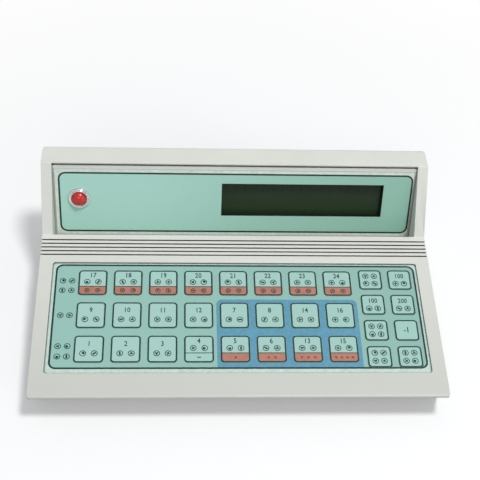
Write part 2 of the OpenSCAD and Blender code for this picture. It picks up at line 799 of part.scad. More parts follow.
// Ring on the panel with a threaded bush through it, which ends in a raised collar.
module reset_bezel() color(METAL) at_button() difference() {
    union() {
        translate([0, 0, film_t]) cylinder(d = bezel_d, h = bezel_h - film_t);
        translate([0, 0, -bush_l]) cylinder(d = bush_d, h = bush_l + collar_h);
    }
    translate([0, 0, -bush_l + BUSH_FLOOR]) cylinder(d = button_d + 2 * button_clear, h = FAR);
}

// Hexagon nut and contact block behind the panel.
module reset_switch() color(DARK) at_button() {
    translate([0, 0, -panel_t - NUT_H]) difference() {
        cylinder(d = bush_d + NUT_OVER, h = NUT_H, $fn = 6);
        translate([0, 0, -1]) cylinder(d = bush_d, h = NUT_H + 2);
    }
    brick(-switch_body_w / 2, switch_body_w / 2, -switch_body_w / 2, switch_body_w / 2,
        -bush_l - switch_body_l, -bush_l);
    for (x = [-1, 1])
        translate([x * 3, 0, -bush_l - switch_body_l - 1.5]) cube([0.6, 2.2, 3.2], center = true);
}

module keypad_overlay() color(MINT) difference() {
    pocket_middle()
        slab(pocket_w - 2 * SEAT, pocket_len - 2 * SEAT, pocket_r, spacer_z, film_z);
    on_deck() all_keys(key_clear, spacer_z - 1, 1);
}

// Circuit sheet with the spacer bonded to it, open under each key.
module keypad_circuit() color([0.75, 0.78, 0.70]) difference() {
    pocket_middle()
        slab(pocket_w - 2 * SEAT, pocket_len - 2 * SEAT, pocket_r, -pocket_depth, spacer_z);
    on_deck() all_keys(2 * key_clear, circuit_z, 1);
}

module key_domes() color(METAL) on_deck() {
    for (i = [0 : COUNT_KEYS - 1]) translate([key_count_x(i), key_count_y(i), circuit_z]) dome();
    for (i = [0 : FUNCTION_KEYS - 1])
        translate([key_function_x(i), key_function_y(i), circuit_z]) dome();
}

module dome() {
    cylinder(d = dome_d, h = dome_h * 0.6);
    cylinder(d = dome_d * 0.6, h = dome_h);
}

// One membrane key: the embossed zone of the film that moves under a finger.
module key_zone(x, y, w, l) {
    color(MINT) on_deck() translate([x, y, 0]) slab(w, l, key_r, spacer_z, spacer_z + key_t);
}

module count_key(i) {
    key_zone(key_count_x(i), key_count_y(i), count_key_w, count_key_l);
}

module function_key(i) {
    key_zone(key_function_x(i), key_function_y(i), function_key_w, function_key_l);
}

// Flat tail from the circuit sheet down to its connector on the main board.
module keypad_tail() color([0.85, 0.55, 0.25]) {
    top = deck_point(pocket_start + pocket_len - 4, -pocket_depth);
    translate([tail_x, top[0], 0]) {
        brick(-tail_w / 2, tail_w / 2, -TAIL_T / 2, TAIL_T / 2, board_top + SOCKET_H,
            top[1] - TAIL_T / 2 * tan(deck_angle));
        brick(-tail_w / 2 - 2, tail_w / 2 + 2, -SOCKET_D / 2, SOCKET_D / 2,
            board_top, board_top + SOCKET_H);
    }
}

module main_board() color(BOARD) difference() {
    left = -case_w / 2 + board_left;
    brick(left, left + board_w, board_front, board_front + board_l, board_rise, board_top);
    at_board_posts() translate([0, 0, board_rise - 1]) cylinder(d = screw_d + 0.4, h = board_t + 2);
}

module board_chips() color(DARK) {
    left = -case_w / 2 + board_left;
    pitch = (board_w - 2 * chip_margin) / chip_count;
    for (i = [0 : chip_count - 1])
        translate([left + chip_margin + pitch * (i + 0.5), board_front + board_l / 2, board_top])
            brick(-chip_l / 2, chip_l / 2, -chip_w / 2, chip_w / 2, 0, chip_h);
}

module sounder() color(DARK)
    translate([case_w / 2 - board_right - sounder_side, board_front + board_l - sounder_rear,
        board_top])
        difference() {
            cylinder(d = sounder_d, h = sounder_h);
            translate([0, 0, sounder_h - 1]) cylinder(d = 2, h = 2);
        }

module transformer_core() color([0.35, 0.34, 0.33]) at_core() difference() {
    cube([core_w, core_l, core_h], center = true);
    for (x = [-1, 1])
        translate([x * (core_leg + core_window) / 2, 0, 0])
            cube([core_window, core_l - 2 * CORE_YOKE, core_h + 2], center = true);
}

module transformer_winding() color([0.72, 0.45, 0.20]) at_core() difference() {
    cube([core_leg + 2 * core_window - 2 * SEAT, core_l - 2 * CORE_YOKE - 2 * SEAT, winding_h],
        center = true);
    cube([core_leg, core_l, core_h], center = true);
}

module mains_inlet() color(DARK) on_rear(inlet_left, outlet_rise) difference() {
    union() {
        slab(inlet_flange_w, inlet_flange_h, 3, 0, flange_t);
        slab(inlet_socket_w + 2 * inlet_wall, inlet_socket_h + 2 * inlet_wall, 2,
            -inlet_socket_d - inlet_wall + flange_t, flange_t);
    }
    slab(inlet_socket_w, inlet_socket_h, 2, flange_t - inlet_socket_d, FAR);
    at_pins() cube([PIN_SIZE[0], PIN_SIZE[1], FAR], center = true);
}

// Three flat pins: the middle one stands above the other two.
module at_pins() {
    for (i = [-1 : 1])
        translate([i * PIN_PITCH, i == 0 ? PIN_OFFSET : -PIN_OFFSET, 0]) children();
}

module inlet_pins() color(METAL) on_rear(inlet_left, outlet_rise) at_pins()
    brick(-PIN_SIZE[0] / 2, PIN_SIZE[0] / 2, -PIN_SIZE[1] / 2, PIN_SIZE[1] / 2,
        -inlet_socket_d - inlet_wall + flange_t - PIN_TAIL, flange_t - 1);

module switch_frame() color(DARK) on_rear(switch_left, outlet_rise) difference() {
    body_d = 2 * rocker_r - 1;
    union() {
        slab(switch_flange_w, switch_flange_h, 1.5, 0, flange_t);
        slab(switch_flange_w - 2, switch_flange_h - 2, 0.5, -body_d, flange_t);
    }
    brick(-rocker_w / 2 - rocker_clear, rocker_w / 2 + rocker_clear,
        -rocker_r - rocker_clear, rocker_r + rocker_clear,
        -rocker_r - rocker_clear + flange_t / 2, FAR);
    translate([0, 0, flange_t / 2]) rotate([0, 90, 0])
        cylinder(d = pivot_d + 0.1, h = rocker_w + 2 + SEAT, center = true);
}

// Rocker: a slice of a drum with a shallow V across its face, pressed in at the bottom.
module switch_rocker() color([0.12, 0.12, 0.12]) on_rear(switch_left, outlet_rise)
    translate([0, 0, flange_t / 2]) rotate([rocker_swing / 2, 0, 0]) {
        rise = rocker_r * tan(rocker_swing / 2);
        intersection() {
            rotate([0, 90, 0]) cylinder(r = rocker_r, h = rocker_w, center = true);
            across([[-rocker_r, -4.5], [rocker_r, -4.5], [rocker_r, rocker_face + rise],
                [0, rocker_face], [-rocker_r, rocker_face + rise]], rocker_w);
        }
        rotate([0, 90, 0]) cylinder(d = pivot_d, h = rocker_w + 2, center = true);
    }

module fuse_holder() color(DARK) on_rear(fuse_left, fuse_rise) difference() {
    union() {
        translate([0, 0, -fuse_body_l]) cylinder(d = fuse_body_d, h = fuse_body_l + 1);
        cylinder(d = fuse_flange_d, h = flange_t);
        cylinder(d = fuse_body_d - 1, h = fuse_cap_l);
    }
    translate([0, 0, fuse_cap_l]) cube([fuse_body_d - 3, SLOT_W, 2], center = true);
}

// Ribbon from the main board, under the display recess, up to the display's board.
module display_ribbon() color([0.6, 0.6, 0.6]) {
    run_z = trough_z - wall - 2 - ribbon_t;
    start_y = board_front + board_l - 4;
    up = -line_drop - lcd_board_h / 2 + 1;
    out = lcd_board_z - board_t - header_d;
    end = [panel_y + up * cos(panel_angle) - out * sin(panel_angle),
           head_z + up * sin(panel_angle) + out * cos(panel_angle)];
    translate([ribbon_x, 0, 0]) across([
        [start_y, board_top], [start_y, run_z + ribbon_t],
        [end[0] - ribbon_t, run_z + ribbon_t], [end[0] - ribbon_t, end[1]],
        [end[0], end[1]], [end[0], run_z], [start_y + ribbon_t, run_z],
        [start_y + ribbon_t, board_top]], ribbon_w);
}

module rubber_feet() color([0.15, 0.15, 0.15]) at_feet()
    translate([0, 0, -foot_h]) cylinder(d = foot_d, h = foot_h + foot_seat);

module screws() color(METAL) {
    at_bosses() translate([0, 0, boss_seat]) {
        cylinder(d = screw_d, h = screw_l);
        translate([0, 0, -screw_head_h]) cylinder(d = screw_head_d, h = screw_head_h);
    }
    at_board_posts() translate([0, 0, board_top]) {
        translate([0, 0, -screw_l]) cylinder(d = screw_d, h = screw_l);
        cylinder(d = screw_head_d, h = screw_head_h);
    }
}

place() bottom_shell();
place() top_shell();
place() rear_panel();
place() display_panel();
place() display_overlay();
place() lcd_board();
place() lcd_frame();
place() lcd_glass();
place() reset_button();
place() reset_bezel();
place() reset_switch();
place() keypad_overlay();
place() keypad_circuit();
place() key_domes();
place() keypad_tail();
place() main_board();
place() board_chips();
place() sounder();
place() transformer_core();
place() transformer_winding();
place() mains_inlet();
place() inlet_pins();
place() switch_frame();
place() switch_rocker();
place() fuse_holder();
place() display_ribbon();
place() rubber_feet();
place() screws();
for (i = [0 : COUNT_KEYS - 1])
    place() count_key(i);
for (i = [0 : FUNCTION_KEYS - 1])
    place() function_key(i);
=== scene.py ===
"""Looks of a desktop counting console: moulded case, printed keypad and display films,
key legends, display cell, red push button and the fittings at the rear.

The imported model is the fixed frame. Lengths below are millimetres in the model's own
frame (x to the right, y to the rear, z up) and become metres in mm().
"""

import math

import bmesh
import bpy
from mathutils import Matrix, Vector


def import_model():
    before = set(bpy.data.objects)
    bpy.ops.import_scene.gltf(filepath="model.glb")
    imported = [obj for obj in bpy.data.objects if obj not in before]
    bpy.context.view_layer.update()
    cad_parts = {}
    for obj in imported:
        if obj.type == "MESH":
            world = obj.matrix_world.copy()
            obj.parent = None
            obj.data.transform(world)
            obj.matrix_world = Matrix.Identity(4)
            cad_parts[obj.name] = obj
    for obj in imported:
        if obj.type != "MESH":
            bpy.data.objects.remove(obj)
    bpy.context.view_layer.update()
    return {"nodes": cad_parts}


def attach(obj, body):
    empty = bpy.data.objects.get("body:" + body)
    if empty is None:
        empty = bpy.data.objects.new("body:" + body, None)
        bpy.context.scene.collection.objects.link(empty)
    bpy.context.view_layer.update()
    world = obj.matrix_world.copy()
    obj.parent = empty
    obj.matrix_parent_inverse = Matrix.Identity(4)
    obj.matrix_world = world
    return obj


# ---------------------------------------------------------------- places and sizes

FRONT_EDGE = Vector((0, -79.286, 23))   # middle of the deck's front edge
DECK_SLOPE = math.radians(8)
LEDGE = Vector((0, 58.967, 76))         # display panel's front plane, at the ledge's level
PANEL_SLOPE = math.radians(72.6)
REAR = Vector((0, 71.261, 19))          # rear panel's outer face, at the lower shell's rim

ROOT = "console"                        # body of everything that stays put
FILM_TOP = -1.1                         # keypad film below the deck
KEY_TOP = -0.8                          # key tops below the deck
OVERLAY_TOP = 0.3                       # display film in front of its panel
INK = 0.04                              # an ink layer's thickness
LINE = 0.8                              # width of a key's outline
RULE = 0.5                              # width of the line between a key's field and foot
STROKE = 0.07                           # how much each side of a printed stroke swells
NUMBER_WIDTH = 0.82                     # a number's width against the typeface's own
FRAME = 1.15                            # width of a film's frame line
FILM_RIM = 0.1                          # bare strip along a film's edge
FILM_CORNER = 1.4
MARK_RING = 0.45                        # width of the ring round a cell mark

# Rectangles are given as left, low, right and high.
# Outlines of the films, the outer edges of their frame lines, and those lines' corners
KEYPAD_FILM = (-111.6, 16.5, 111.6, 92.2)
KEYPAD_LINE = (-109.8, 19.4, 110.3, 91.3)
KEYPAD_CORNER = 4.4
DISPLAY_FILM = (-112.4, -50.6, 112.4, -5.0)
DISPLAY_LINE = (-110.35, -48.7, 112.05, -7.0)
DISPLAY_CORNER = 4.8

# Centres and sizes of the keys on the deck, front row first
KEY_COLUMNS = [-87.1 + 21.2 * i for i in range(8)]
KEY_ROWS = [32.4, 55.2, 78.0]
FRONT_ROW, REAR_ROW = 0, 2
FUNCTION_COLUMNS = [82.0, 100.2]
FUNCTION_ROWS = [27.2, 45.05, 62.9, 80.75]
COUNT_KEY = (17.0, 17.6)
FUNCTION_KEY = (14.1, 14.0)
KEY_CORNER = 2.2

# The blue field runs forward to the frame line; only its rear corners are round
BLUE_FIELD = (-12.9, 40, 72.2, 66.4)
BLUE_CORNER = 3.5
BLUE_HOLE = (8.8, 9.1)                  # half sizes of its gap round a key
ROW_MARKS_X = -102.3
ROW_MARKS = (79.4, 72.6, 55.2, 34.4, 27.6)

WINDOW = (-8.8, -36.75, 93.6, -14.05)   # on the display panel
WINDOW_DEPTH = 2.45                     # from the panel's face to the cell's bezel
# The window's dark liner stands in for the shade on the window's walls
LINER = 0.3                             # thickness of the liner round the window

ROCKER = (34.0, 19.0, 1.0)              # the power rocker's pivot on the rear face
ROCKER_FACE = 1.4                       # from the pivot to the fold of its face
ROCKER_TILT = math.radians(10)          # slope of each half of the face
ROCKER_MARK = 3.9                       # from the fold to the middle of each mark

# Numbers printed on the keys, front row first
KEY_NUMBERS = [
    [1, 2, 3, 4, 5, 6, 13, 15],
    [9, 10, 11, 12, 7, 8, 14, 16],
    [17, 18, 19, 20, 21, 22, 23, 24],
]
SUBTRACT = "-1"
FUNCTION_NUMBERS = [None, None, None, SUBTRACT, "100", "200", None, "100"]

# ---------------------------------------------------------------- colours (sRGB 0-255)

CASE_TOP = (226, 227, 219)
CASE_BASE = (204, 204, 196)
# Painted shade, laid by ambient occlusion in grooves, hollows and along walls
CREVICE_SHADE = (62, 60, 54)
MINT = (154, 198, 187)
# Keypad film's mint with painted shade, reached towards the right where the light falls off
MINT_SHADED = (142, 184, 173)
KEY_MINT = (172, 210, 201)
DISPLAY_MINT = (180, 226, 213)
# Display film's mint with painted shade, reached towards the right where the light falls off
DISPLAY_SHADED = (153, 200, 182)
DISPLAY_MARGIN = (214, 221, 213)
KEYPAD_MARGIN = (188, 209, 200)
BLUE = (87, 146, 172)
SALMON = (172, 116, 99)
FOOT_DOT = (132, 66, 50)
INK_GREEN = (14, 50, 44)
RED = (210, 46, 39)


def mm(*values):
    """Millimetres to metres, as one number or as a vector."""
    return values[0] * 0.001 if len(values) == 1 else Vector(values) * 0.001


def srgb(colour, alpha=1.0):
    """sRGB 0-255 to the linear colour that a socket takes."""
    def linear(c):
        c /= 255
        return c / 12.92 if c <= 0.04045 else ((c + 0.055) / 1.055) ** 2.4
    return (*[linear(c) for c in colour], alpha)


# ---------------------------------------------------------------- local frames

def frame_matrix(origin, slope):
    """Metres: x across, y up a face that slopes by slope, z out of it."""
    return Matrix.Translation(origin * 0.001) @ Matrix.Rotation(slope, 4, "X")


DECK = frame_matrix(FRONT_EDGE, DECK_SLOPE)
PANEL = frame_matrix(LEDGE, PANEL_SLOPE)
# Rear face: x to the left seen from the front, y up, z out to the rear
REAR_FACE = Matrix.Translation(REAR * 0.001) @ Matrix(
    ((-1, 0, 0, 0), (0, 0, 1, 0), (0, 1, 0, 0), (0, 0, 0, 1)))


# ---------------------------------------------------------------- node materials

class Shade:
    """One procedural material: a Principled shader and the nodes that feed it."""

    def __init__(self, name, colour, roughness=0.5, **inputs):
        self.material = bpy.data.materials.new(name)
        self.material.use_nodes = True
        self.tree = self.material.node_tree
        self.shader = self.tree.nodes["Principled BSDF"]
        self.shader.inputs["Base Color"].default_value = srgb(colour)
        self.shader.inputs["Roughness"].default_value = roughness
        for key, value in inputs.items():
            self.shader.inputs[key.replace("_", " ")].default_value = value
        self.place = self.node("ShaderNodeTexCoord").outputs["Object"]

    def node(self, kind, **values):
        made = self.tree.nodes.new(kind)
        for key, value in values.items():
            setattr(made, key, value)
        return made

    def link(self, source, target):
        self.tree.links.new(source, target)

    def noise(self, size, detail=3.0, rough=0.55, stretch=(1, 1, 1)):
        """Noise whose features are about size millimetres across."""
        mapping = self.node("ShaderNodeMapping")
        mapping.inputs["Scale"].default_value = stretch
        self.link(self.place, mapping.inputs["Vector"])
        made = self.node("ShaderNodeTexNoise")
        made.inputs["Scale"].default_value = 1000 / size
        made.inputs["Detail"].default_value = detail
        made.inputs["Roughness"].default_value = rough
        self.link(mapping.outputs["Vector"], made.inputs["Vector"])
        return made.outputs["Fac"]

    def spread(self, source, low, high, start=0.3, end=0.7):
        """source, remapped from start..end to low..high."""
        made = self.node("ShaderNodeMapRange")
        for key, value in zip(("From Min", "From Max", "To Min", "To Max"),
                              (start, end, low, high)):
            made.inputs[key].default_value = value
        self.link(source, made.inputs["Value"])
        return made.outputs["Result"]

    def mix(self, factor, first, second):
        """A colour between two colours or colour sockets."""
        made = self.node("ShaderNodeMix", data_type="RGBA")
        self.link(factor, made.inputs["Factor"])
        for key, value in (("A", first), ("B", second)):
            socket = next(i for i in made.inputs if i.name == key and i.type == "RGBA")
            if isinstance(value, tuple):
                socket.default_value = srgb(value)
            else:
                self.link(value, socket)
        return next(o for o in made.outputs if o.type == "RGBA")

    def colour(self, source):
        """Base colour from a colour socket."""
        self.link(source, self.shader.inputs["Base Color"])
        return self

    def mottle(self, first, second, size, detail=3.0):
        """Base colour that drifts between two close colours."""
        return self.colour(self.mix(self.spread(self.noise(size, detail), 0, 1), first, second))

    def rough(self, low, high, size):
        """Roughness that drifts between two values."""
        self.link(self.spread(self.noise(size), low, high), self.shader.inputs["Roughness"])
        return self

    def bump(self, height, depth):
        """Surface relief of depth millimetres from a height between 0 and 1."""
        made = self.node("ShaderNodeBump")
        made.inputs["Strength"].default_value = 1.0
        made.inputs["Distance"].default_value = mm(depth)
        self.link(height, made.inputs["Height"])
        self.link(made.outputs["Normal"], self.shader.inputs["Normal"])
        return self

    def separate(self, matrix):
        """X, Y and Z sockets in the local frame that matrix places, in metres."""
        inverse = matrix.inverted()
        turn = self.node("ShaderNodeMapping")
        turn.inputs["Rotation"].default_value = inverse.to_euler()
        turn.inputs["Location"].default_value = inverse.translation
        self.link(self.place, turn.inputs["Vector"])
        parts = self.node("ShaderNodeSeparateXYZ")
        self.link(turn.outputs["Vector"], parts.inputs["Vector"])
        return parts.outputs


def moulded(name, colour, roughness=0.46, depth=0.012):
    """Moulded plastic with a fine spark-eroded grain and a faint drift of colour."""
    dark = tuple(c * 0.975 for c in colour)
    shade = Shade(name, colour, roughness).mottle(colour, dark, 28, 4)
    shade.rough(roughness - 0.06, roughness + 0.08, 9)
    return shade.bump(shade.noise(0.55, 2, 0.6), depth)


def case_plastic(name, colour, crevice_shade_colour, roughness=0.46):
    """Moulded plastic with painted shade: darker towards the front, where less light falls, and
    darker by ambient occlusion in its grooves and hollows.
    """
    shade = moulded(name, colour, roughness)
    mottled_colour = shade.shader.inputs["Base Color"].links[0].from_socket
    place = shade.node("ShaderNodeSeparateXYZ")
    shade.link(shade.place, place.inputs["Vector"])
    # Painted shade: the colour darkens towards the front, where less light falls
    front_shade = shade.spread(place.outputs["Y"], 1, 0, mm(-70), mm(50))
    without_crevice_shade = shade.mix(front_shade, mottled_colour, tuple(c * 0.9 for c in colour))
    # Painted shade: darker by ambient occlusion in grooves, seams and hollows
    crevice_ao = shade.node("ShaderNodeAmbientOcclusion", samples=8)
    crevice_ao.inputs["Distance"].default_value = mm(2.2)
    return shade.colour(shade.mix(shade.spread(crevice_ao.outputs["AO"], 0, 1, 0.36, 0.8),
                                  crevice_shade_colour, without_crevice_shade))


def printed(name, colour, shaded_colour, matrix, span, roughness=0.34):
    """Printed film with painted shade that darkens it slowly along x, where the light falls
    off, and a fine velvet finish.
    """
    shade = Shade(name, colour, roughness)
    x = shade.separate(matrix)["X"]
    # Painted shade: the film darkens slowly along x, as the light falls off to the right
    falloff_shade = shade.spread(x, 0, 1, mm(span[0]), mm(span[1]))
    speck = shade.spread(shade.noise(0.8, 2), 0.985, 1.0)
    base = shade.mix(falloff_shade, colour, shaded_colour)
    tint = shade.node("ShaderNodeMix", data_type="RGBA", blend_type="MULTIPLY")
    tint.inputs["Factor"].default_value = 1
    first, second = [i for i in tint.inputs if i.type == "RGBA"]
    shade.link(base, first)
    shade.link(speck, second)
    shade.colour(next(o for o in tint.outputs if o.type == "RGBA"))
    shade.rough(roughness - 0.05, roughness + 0.07, 6)
    return shade.bump(shade.noise(0.35, 2), 0.006)


def ink_shade(name, colour, roughness=0.42):
    """Screen-printed ink with slightly uneven cover."""
    light = tuple(min(255, c * 1.07 + 3) for c in colour)
    shade = Shade(name, colour, roughness).mottle(colour, light, 2.4, 2)
    shade.rough(roughness - 0.06, roughness + 0.06, 2)
    return shade.bump(shade.noise(0.3, 2), 0.004)


def margin_shade(name, colour):
    """A film's unprinted rim, with painted shade along the wall that it lies against."""
    shade = ink_shade(name, colour)
    without_crevice_shade = shade.shader.inputs["Base Color"].links[0].from_socket
    # Painted shade: darker by ambient occlusion close to the wall beside the rim
    wall = shade.node("ShaderNodeAmbientOcclusion", samples=8)
    wall.inputs["Distance"].default_value = mm(1.6)
    return shade.colour(shade.mix(shade.spread(wall.outputs["AO"], 0, 1, 0.55, 0.86),
                                  CREVICE_SHADE, without_crevice_shade))


def banded(name, colour, dark, light, direction, scale, depth, roughness, **inputs):
    """Ridges side by side, such as wires, wraps or plates."""
    shade = Shade(name, colour, roughness, **inputs)
    bands = shade.node("ShaderNodeTexWave", wave_type="BANDS", bands_direction=direction)
    bands.inputs["Scale"].default_value = scale
    shade.link(shade.place, bands.inputs["Vector"])
    shade.colour(shade.mix(bands.outputs["Fac"], dark, light))
    return shade.bump(bands.outputs["Fac"], depth)


def display_cell():
    """Unlit display: dark olive with painted shade that darkens it towards its top, and faint
    columns where its characters would stand.
    """
    lcd = Shade("display_cell", (38, 56, 33), 0.16)
    lcd.shader.inputs["Specular IOR Level"].default_value = 0.18
    place = lcd.separate(PANEL)
    # Painted shade: darker at the window's top, lighter at its bottom
    painted_shade_fade = lcd.spread(place["Y"], 0, 1, mm(WINDOW[3]), mm(WINDOW[1]))
    shaded_tone = lcd.mix(painted_shade_fade, (28, 42, 30), (40, 60, 32))
    columns = lcd.node("ShaderNodeMath", operation="PINGPONG")
    columns.inputs[1].default_value = mm(3.0)
    lcd.link(place["X"], columns.inputs[0])
    gap = lcd.spread(columns.outputs["Value"], 0, 0.45, mm(0.25), mm(0.55))
    lcd.colour(lcd.mix(gap, shaded_tone, (36, 54, 34)))
    return lcd.rough(0.12, 0.2, 12)


def red_plastic():
    """Glossy moulded red of the push button."""
    red = Shade("red_plastic", RED, 0.24, Coat_Weight=0.35, Coat_Roughness=0.08)
    red.mottle(RED, tuple(c * 0.93 for c in RED), 3, 3).rough(0.2, 0.3, 1.5)
    return red.bump(red.noise(0.9, 2), 0.004)


def plated_ring():
    """Bright plating with fine turning marks."""
    ring = Shade("plated_ring", (226, 226, 222), 0.2, Metallic=1.0)
    ring.mottle((230, 230, 226), (212, 213, 212), 2.5).rough(0.14, 0.26, 1.2)
    return ring.bump(ring.noise(0.5, 2, stretch=(1, 6, 1)), 0.003)


def plated_steel():
    """Duller plating of screws, pins and domes."""
    steel = Shade("plated_steel", (182, 184, 188), 0.34, Metallic=1.0)
    steel.mottle((186, 188, 192), (160, 163, 168), 1.6).rough(0.26, 0.42, 1.0)
    return steel.bump(steel.noise(0.4, 3), 0.006)


def solder_mask():
    """Green board with the paler tracks that show through its mask."""
    board = Shade("solder_mask", (26, 92, 58), 0.36)
    lines = board.node("ShaderNodeTexBrick", offset=0.37, squash=2.0)
    lines.inputs["Scale"].default_value = 320
    lines.inputs["Mortar Size"].default_value = 0.05
    lines.inputs["Color1"].default_value = srgb((24, 88, 54))
    lines.inputs["Color2"].default_value = srgb((29, 99, 62))
    lines.inputs["Mortar"].default_value = srgb((46, 122, 80))
    board.link(board.place, lines.inputs["Vector"])
    board.colour(lines.outputs["Color"]).rough(0.3, 0.42, 4)
    return board.bump(board.noise(0.7, 2), 0.01)


def circuit_film():
    """Bare amber film of the keypad's circuit."""
    circuit = Shade("circuit_film", (198, 180, 138), 0.3)
    circuit.mottle((198, 180, 138), (182, 164, 122), 3)
    return circuit.bump(circuit.noise(0.6, 2), 0.006)


def make_materials():
    """Every material of the object by its own name."""
    made = {
        "case": case_plastic("case_plastic", CASE_TOP, CREVICE_SHADE),
        "base": case_plastic("base_plastic", CASE_BASE, CREVICE_SHADE, 0.5),
        "black": moulded("black_plastic", (30, 31, 32), 0.42, 0.02),
        "rocker": moulded("rocker_plastic", (24, 24, 25), 0.3, 0.006),
        "rubber": moulded("foot_rubber", (34, 34, 35), 0.75, 0.05),
        "overlay": printed("display_film", DISPLAY_MINT, DISPLAY_SHADED, PANEL, (-60, 90)),
        "keypad": printed("keypad_film", MINT, MINT_SHADED, DECK, (-160, 200)),
        # The keys darken to the keypad's mint with painted shade towards the right
        "key": printed("key_film", KEY_MINT, MINT, DECK, (-200, 330)),
        "blue": ink_shade("blue_ink", BLUE),
        "salmon": ink_shade("salmon_ink", SALMON),
        "ink": ink_shade("green_ink", INK_GREEN),
        "dots": ink_shade("brown_ink", FOOT_DOT),
        "display_margin": margin_shade("display_margin", DISPLAY_MARGIN),
        "keypad_margin": margin_shade("keypad_margin", KEYPAD_MARGIN),
        "white": ink_shade("white_ink", (228, 229, 226)),
        # Dark liner over the window's walls, as painted shade on them
        "liner": moulded("window_liner", (26, 32, 27), 0.5, 0.01),
        "lcd": display_cell(),
        "red": red_plastic(),
        "ring": plated_ring(),
        "steel": plated_steel(),
        "board": solder_mask(),
        "circuit": circuit_film(),
        "ribbon": banded("ribbon_cable", (150, 152, 155), (128, 130, 134), (164, 166, 169),
                         "X", 250, 0.25, 0.5),
        "iron": banded("core_plates", (84, 82, 80), (66, 64, 62), (98, 96, 93),
                       "Z", 320, 0.1, 0.45, Metallic=0.6),
        "winding": banded("winding_tape", (196, 158, 70), (178, 140, 56), (206, 170, 84),
                          "Z", 60, 0.1, 0.4),
    }
    return {key: shade.material for key, shade in made.items()}


# ---------------------------------------------------------------- printing

def rounded(x0, y0, x1, y1, r, steps=6):
    """Anticlockwise outline of a rounded rectangle."""
    outline = []
    for cx, cy, start in ((x1 - r, y0 + r, -90), (x1 - r, y1 - r, 0),
                          (x0 + r, y1 - r, 90), (x0 + r, y0 + r, 180)):
        for k in range(steps + 1):
            a = math.radians(start + 90 * k / steps)
            outline.append((cx + r * math.cos(a), cy + r * math.sin(a)))
    return outline


def ring_outlines(x0, y0, x1, y1, r, width):
    """Outer and inner outlines of a line of that width inside a rounded rectangle."""
    return [rounded(x0, y0, x1, y1, r),
            rounded(x0 + width, y0 + width, x1 - width, y1 - width, max(r - width, 0.2))]


def box_outline(x0, y0, x1, y1):
    """Anticlockwise outline of a rectangle."""
    return [(x0, y0), (x1, y0), (x1, y1), (x0, y1)]


def foot_outline(x0, y0, x1, y1, r, steps=6):
    """A rectangle whose two front corners are round."""
    outline = [(x1, y1), (x0, y1)]
    for cx, start in ((x0 + r, 180), (x1 - r, 270)):
        for k in range(steps + 1):
            a = math.radians(start + 90 * k / steps)
            outline.append((cx + r * math.cos(a), y0 + r + r * math.sin(a)))
    return outline


def disc(x, y, r, steps=14):
    """Anticlockwise outline of a circle."""
    return [(x + r * math.cos(math.tau * k / steps), y + r * math.sin(math.tau * k / steps))
            for k in range(steps)]


def curve_mesh(curve):
    """The mesh of a filled curve or text, which is then thrown away."""
    carrier = bpy.data.objects.new("carrier", curve)
    bpy.context.scene.collection.objects.link(carrier)
    bpy.context.view_layer.update()
    evaluated = carrier.evaluated_get(bpy.context.evaluated_depsgraph_get())
    mesh = bpy.data.meshes.new_from_object(evaluated)
    bpy.data.objects.remove(carrier)
    bpy.data.curves.remove(curve)
    return mesh


def shape_mesh(outlines, thickness=INK):
    """Flat filled outlines, about the face z = 0; an outline inside another is a hole."""
    curve = bpy.data.curves.new("shape", "CURVE")
    curve.dimensions = "2D"
    curve.fill_mode = "BOTH"
    curve.extrude = mm(thickness / 2)
    for outline in outlines:
        spline = curve.splines.new("POLY")
        spline.points.add(len(outline) - 1)
        for point, (x, y) in zip(spline.points, outline):
            point.co = (mm(x), mm(y), 0, 1)
        spline.use_cyclic_u = True
    return curve_mesh(curve)


def text_mesh(words, x, y, size):
    """A printed number centred on x, y."""
    curve = bpy.data.curves.new("number", "FONT")
    curve.body = words
    curve.size = mm(size)
    curve.align_x = "CENTER"
    curve.align_y = "CENTER"
    curve.space_character = 1.05
    curve.resolution_u = 3
    curve.offset = mm(STROKE)
    curve.extrude = mm(INK / 2)
    mesh = curve_mesh(curve)
    mesh.transform(Matrix.Translation(mm(x, y, 0))
                   @ Matrix.Diagonal((NUMBER_WIDTH, 1, 1, 1)))
    return mesh


def put(name, meshes, matrix, body, material):
    """One piece from several meshes, placed by matrix, that rides on a body."""
    work = bmesh.new()
    for mesh in meshes:
        work.from_mesh(mesh)
        bpy.data.meshes.remove(mesh)
    bmesh.ops.transform(work, matrix=matrix, verts=work.verts)
    made = bpy.data.meshes.new(name)
    work.to_mesh(made)
    work.free()
    made.materials.append(material)
    piece = bpy.data.objects.new(name, made)
    bpy.context.scene.collection.objects.link(piece)
    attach(piece, body)
    return piece


def nucleus(x, y, r, lobes, turn, steps=24):
    """Outline of a blob with that many lobes, no further than r from its centre."""
    angles = [math.tau * k / steps for k in range(steps)]
    reach = [r * (0.68 + 0.32 * math.cos(lobes * a)) for a in angles]
    return [(x + d * math.cos(a + turn), y + d * math.sin(a + turn))
            for a, d in zip(angles, reach)]


def cell_marks(x, y, kind, pitch=6.6, r=1.95):
    """Two small pictures of a cell side by side, each a ring round a lobed blob."""
    outlines = []
    for side in (-1, 1):
        cx = x + side * pitch / 2
        lobes = 1 + (kind + (side > 0)) % 4
        outlines += [disc(cx, y, r), disc(cx, y, r - MARK_RING),
                     nucleus(cx, y, (r - MARK_RING) * 0.82, lobes, 0.7 + kind)]
    return outlines


def key_frame(x, s):
    """Local frame on top of the key whose centre is x, s on the deck."""
    return DECK @ Matrix.Translation(mm(x, s, KEY_TOP + INK / 2))


